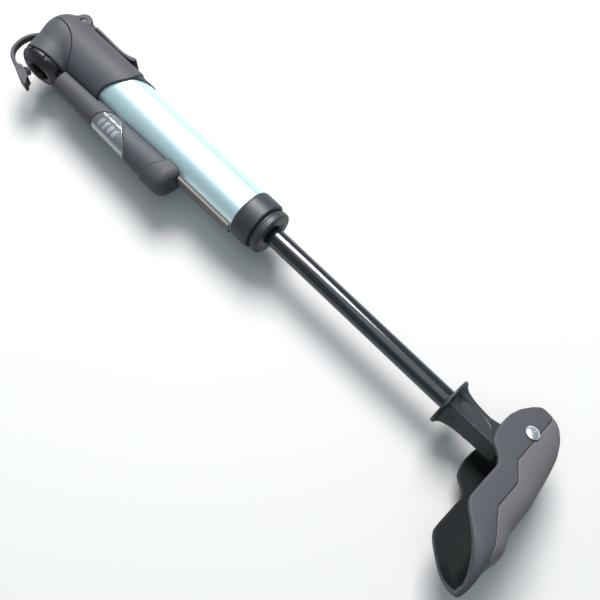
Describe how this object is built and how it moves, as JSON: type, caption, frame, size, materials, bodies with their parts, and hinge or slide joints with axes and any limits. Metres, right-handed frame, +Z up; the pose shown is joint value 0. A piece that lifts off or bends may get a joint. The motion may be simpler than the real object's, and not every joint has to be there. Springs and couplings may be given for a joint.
{
  "type": "mini bicycle hand pump",
  "caption": "Mini hand pump with a lever-lock chuck, an inline pressure gauge beside the barrel, a drawn-out rod and a fold-out trough handle.",
  "frame": {"origin": "bottom centre of the whole pump's box, lying on its side with the rod drawn out and the handle opened", "axes": "+X along the barrel from the head to the handle; -Y towards the chuck, the gauge and the handle's long arm; +Y towards the lock lever; +Z up"},
  "size_m": [0.3476, 0.0918, 0.0619],
  "materials": {
    "head_plastic": "satin charcoal moulded plastic",
    "black_plastic": "satin black moulded plastic",
    "collar_plastic": "satin dark grey moulded plastic",
    "grip_plastic": "matt light grey moulded plastic",
    "barrel_aluminium": "smooth silver anodised",
    "rod_black": "gloss black",
    "rail_plastic": "satin grey moulded plastic",
    "cap_rubber": "moulded grey rubber",
    "black_rubber": "moulded black rubber",
    "clear_plastic": "clear smoky moulded plastic, polished",
    "scale_card": "printed pale sleeve",
    "indicator_plastic": "red moulded plastic",
    "chrome": "polished",
    "steel": "plain",
    "brass": "turned"
  },
  "bodies": {
    "barrel": {"head_body": "head_plastic", "chuck_housing": "head_plastic", "chuck_ring": "black_plastic", "valve_gasket": "black_rubber", "barrel_gasket": "black_rubber", "check_valve_seat": "brass", "check_valve_spring": "steel", "lever_pin": "steel", "gauge_housing": "head_plastic", "gauge_lens": "clear_plastic", "gauge_scale_tube": "scale_card", "gauge_spring": "steel", "gauge_end_cap": "head_plastic", "barrel_tube": "barrel_aluminium", "side_rail": "rail_plastic", "end_collar": "collar_plastic", "guide_cap": "collar_plastic", "rod_bushing": "black_plastic", "rod_wiper": "black_rubber"},
    "piston_carrier": {"piston": "black_plastic", "piston_seal": "black_rubber"},
    "rod": {"rod_tube": "rod_black", "piston_screw": "steel", "handle_neck": "collar_plastic", "neck_pin": "steel"},
    "handle": {"handle_shell": "head_plastic", "grip_panel": "grip_plastic", "pivot_pin": "chrome", "pivot_cap": "chrome"},
    "lever": {"lock_lever": "head_plastic"},
    "plunger": {"chuck_plunger": "black_plastic"},
    "valve_disc": {"check_valve_disc": "black_rubber"},
    "indicator": {"gauge_indicator": "indicator_plastic", "gauge_seal": "black_rubber"},
    "cap_strap": {"dust_cap": "cap_rubber"}
  },
  "joints": [
    {"name": "rod_slide", "type": "slide", "parent": "barrel", "child": "piston_carrier", "axis": [1, 0, 0], "range_m": [-0.1145, 0]},
    {"name": "rod_turn", "type": "hinge", "parent": "piston_carrier", "child": "rod", "pos_m": [-0.01717, 0.01942, 0.024], "axis": [1, 0, 0], "continuous": true},
    {"name": "handle_fold", "type": "hinge", "parent": "rod", "child": "handle", "pos_m": [0.14993, 0.02257, 0.02272], "axis": [0, 0.3746, 0.9272], "range_deg": [-90, 0]},
    {"name": "lever_lift", "type": "hinge", "parent": "barrel", "child": "lever", "pos_m": [-0.15517, 0.03142, 0.024], "axis": [0, 0, 1], "range_deg": [0, 90]},
    {"name": "plunger_press", "type": "slide", "parent": "barrel", "child": "plunger", "axis": [0.184, -0.9829, 0], "range_m": [0, 0.0015]},
    {"name": "check_valve_lift", "type": "slide", "parent": "barrel", "child": "valve_disc", "axis": [-1, 0, 0], "range_m": [0, 0.0008], "stiffness_N_per_m": 20, "deforming": ["check_valve_spring"]},
    {"name": "gauge_rise", "type": "slide", "parent": "barrel", "child": "indicator", "axis": [1, 0, 0], "range_m": [0, 0.03], "stiffness_N_per_m": 60, "deforming": ["gauge_spring"]},
    {"name": "dust_cap_flex", "type": "hinge", "parent": "barrel", "child": "cap_strap", "pos_m": [-0.16927, 0.01122, 0.024], "axis": [0, 0, 1], "range_deg": [-40, 0], "stiffness_Nm_per_rad": 0.02}
  ],
  "couplings": [
    {"joint": "plunger_press", "follows": "lever_lift", "m_per_rad": 0.000954}
  ]
}
